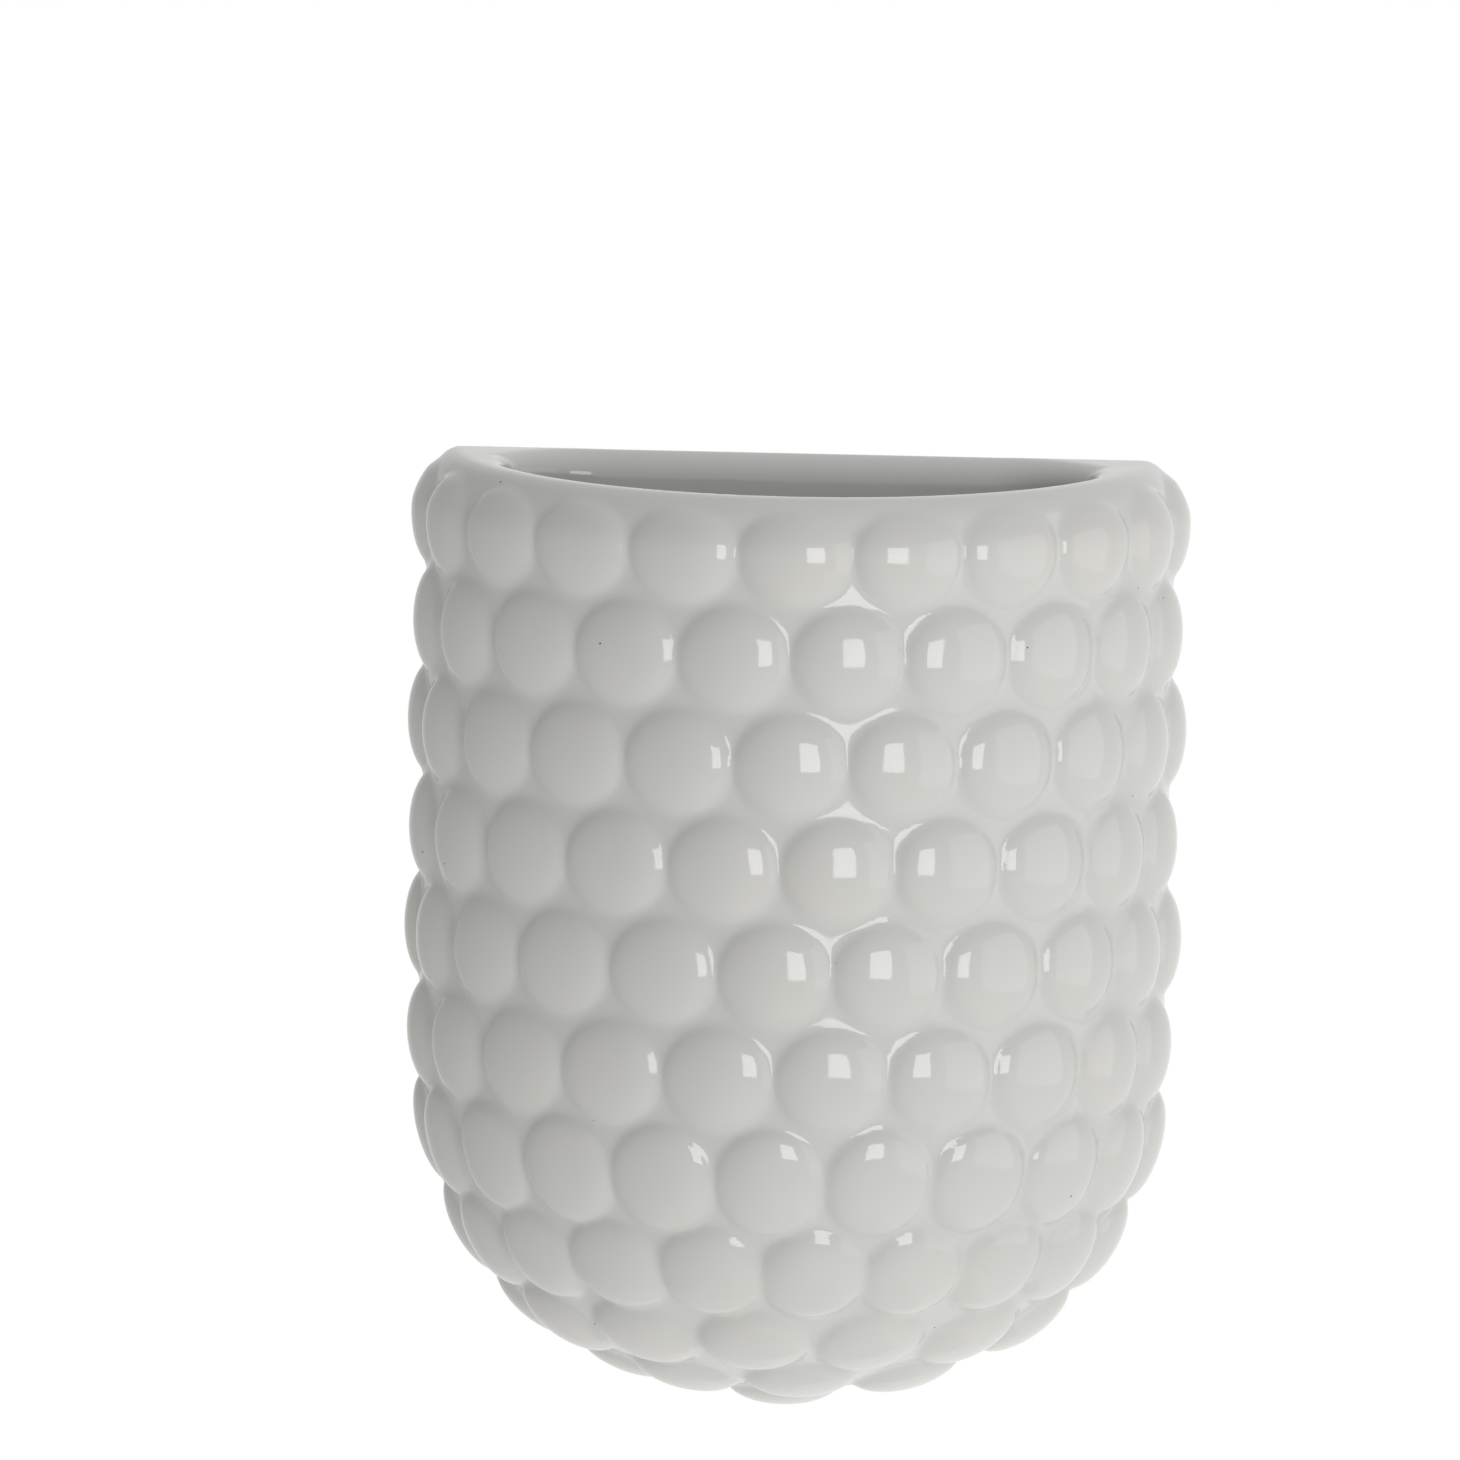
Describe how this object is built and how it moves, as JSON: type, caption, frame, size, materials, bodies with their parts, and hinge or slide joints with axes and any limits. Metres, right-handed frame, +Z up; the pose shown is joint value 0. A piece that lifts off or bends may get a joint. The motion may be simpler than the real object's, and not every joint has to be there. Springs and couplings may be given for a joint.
{
  "type": "hanging wall vase",
  "caption": "Half-round glazed ceramic wall vase with a rounded bottom and raised round bubbles, hung by a keyhole in its flat back on a screw and wall plug.",
  "frame": {"origin": "on the hanging screw's axis, at the wall's surface", "axes": "+Y into the wall along the plug, -Y out into the room, +Z up, +X to the right seen from the room"},
  "size_m": [0.1562, 0.1117, 0.1914],
  "materials": {
    "glaze": "gloss white glaze",
    "bumper": "soft satin",
    "screw": "zinc plated",
    "plug": "grey nylon"
  },
  "bodies": {
    "wall_fixing": {"wall_plug": "plug", "hanging_screw": "screw"},
    "vase": {"front_shell": "glaze", "back_wall": "glaze", "bumper_upper_left": "bumper", "bumper_upper_right": "bumper", "bumper_lower_left": "bumper", "bumper_lower_right": "bumper"}
  },
  "joints": [
    {"name": "lift_off", "type": "slide", "parent": "wall_fixing", "child": "vase", "axis": [0, 0, 1], "range_m": [0, 0.01125]}
  ]
}
